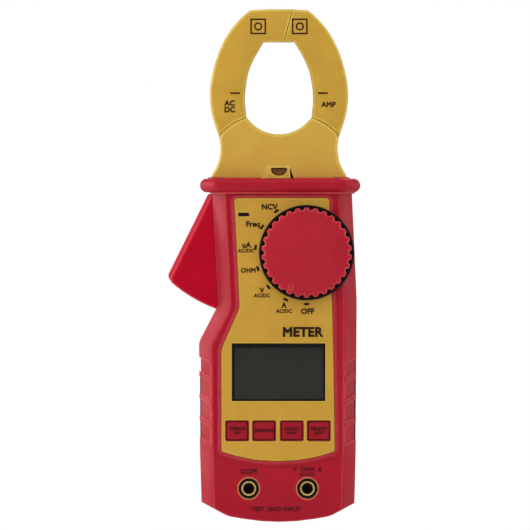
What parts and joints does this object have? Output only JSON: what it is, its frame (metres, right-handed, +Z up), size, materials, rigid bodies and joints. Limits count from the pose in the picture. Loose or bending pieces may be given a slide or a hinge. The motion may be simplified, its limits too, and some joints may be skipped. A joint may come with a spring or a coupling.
{
  "type": "clamp meter",
  "caption": "Handheld digital clamp meter: two geared jaws opened by a side trigger, hand guard, rotary selector, display, push buttons and test-lead jacks.",
  "frame": {"origin": "on the flat back of the case, on its midline, 100 mm above its foot", "axes": "+Z up the meter from the foot to the tip of the jaws, +Y out of the back of the case, so the display faces -Y, and +X to the right of someone reading the display"},
  "size_m": [0.0826, 0.0412, 0.2205],
  "materials": {
    "yellow_plastic": "fine spark-textured moulded ABS, yellow",
    "red_plastic": "fine spark-textured overmoulded plastic, red",
    "black_plastic": "satin black moulded plastic",
    "display_glass": "clear acrylic window over a dark grey display",
    "lcd_glass": "liquid crystal panel, unlit",
    "smoke_lens": "smoked amber acrylic",
    "white_plastic": "white moulded plastic",
    "keypad_rubber": "dark red silicone rubber",
    "circuit_board": "green solder mask",
    "steel": "zinc-plated steel",
    "brass": "nickel-free brass, lightly polished",
    "copper": "enamelled copper winding",
    "battery_sleeve": "printed plastic sleeve without lettering"
  },
  "bodies": {
    "case": {"base_front_cover": "yellow_plastic", "base_rear_cover": "yellow_plastic", "face_plate": "yellow_plastic", "front_case": "red_plastic", "rear_case": "red_plastic", "hand_guard": "red_plastic", "knob_bezel": "black_plastic", "jack_com_collar": "black_plastic", "jack_volt_collar": "black_plastic", "display_frame": "black_plastic", "processor_chip": "black_plastic", "buzzer": "black_plastic", "battery_tray": "black_plastic", "display_window": "display_glass", "indicator_lens": "display_glass", "display_panel": "lcd_glass", "torch_lens": "smoke_lens", "torch_led": "white_plastic", "input_fuse": "white_plastic", "keypad": "keypad_rubber", "circuit_board": "circuit_board", "case_screw_1": "steel", "case_screw_2": "steel", "case_screw_3": "steel", "case_screw_4": "steel", "base_left_screw": "steel", "base_right_screw": "steel", "left_pivot_pin": "steel", "right_pivot_pin": "steel", "left_jaw_spring": "steel", "right_jaw_spring": "steel", "battery_contact_foot": "steel", "battery_contact_head": "steel", "jack_com_socket": "brass", "jack_volt_socket": "brass", "battery_1": "battery_sleeve", "battery_2": "battery_sleeve"},
    "left_jaw": {"left_jaw_front_shell": "yellow_plastic", "left_jaw_rear_shell": "yellow_plastic", "left_core": "steel", "left_coil": "copper", "left_lever": "steel", "trigger": "red_plastic", "trigger_screw_1": "steel", "trigger_screw_2": "steel", "hall_sensor": "black_plastic"},
    "right_jaw": {"right_jaw_front_shell": "yellow_plastic", "right_jaw_rear_shell": "yellow_plastic", "right_core": "steel", "right_coil": "copper", "right_lever": "steel"},
    "knob": {"rotary_knob": "red_plastic", "switch_rotor": "black_plastic", "switch_wiper": "brass"},
    "button_torch": {"button_torch": "red_plastic"},
    "button_minmax": {"button_minmax": "red_plastic"},
    "button_hold": {"button_hold": "red_plastic"},
    "button_select": {"button_select": "red_plastic"},
    "battery_cover": {"battery_cover": "red_plastic", "battery_cover_screw": "steel"}
  },
  "joints": [
    {"name": "left_jaw_open", "type": "hinge", "parent": "case", "child": "left_jaw", "pos_m": [-0.006, -0.017, 0.0495], "axis": [0, -1, 0], "range_deg": [0, 15], "stiffness_Nm_per_rad": 2, "springref_deg": -14.32},
    {"name": "right_jaw_open", "type": "hinge", "parent": "case", "child": "right_jaw", "pos_m": [0.006, -0.017, 0.0495], "axis": [0, 1, 0], "range_deg": [0, 15], "stiffness_Nm_per_rad": 1, "springref_deg": -14.32},
    {"name": "knob_turn", "type": "hinge", "parent": "case", "child": "knob", "pos_m": [0.0119, -0.032, 0.0162], "axis": [0, 1, 0], "range_deg": [-24, 120]},
    {"name": "button_torch_press", "type": "slide", "parent": "case", "child": "button_torch", "axis": [0, 1, 0], "range_m": [0, 0.0008], "stiffness_N_per_m": 1500, "springref_m": -0.0003},
    {"name": "button_minmax_press", "type": "slide", "parent": "case", "child": "button_minmax", "axis": [0, 1, 0], "range_m": [0, 0.0008], "stiffness_N_per_m": 1500, "springref_m": -0.0003},
    {"name": "button_hold_press", "type": "slide", "parent": "case", "child": "button_hold", "axis": [0, 1, 0], "range_m": [0, 0.0008], "stiffness_N_per_m": 1500, "springref_m": -0.0003},
    {"name": "button_select_press", "type": "slide", "parent": "case", "child": "button_select", "axis": [0, 1, 0], "range_m": [0, 0.0008], "stiffness_N_per_m": 1500, "springref_m": -0.0003},
    {"name": "battery_cover_pull", "type": "slide", "parent": "case", "child": "battery_cover", "axis": [0, 1, 0], "range_m": [0, 0.025]}
  ],
  "couplings": [
    {"joint": "right_jaw_open", "follows": "left_jaw_open", "ratio": 1}
  ]
}
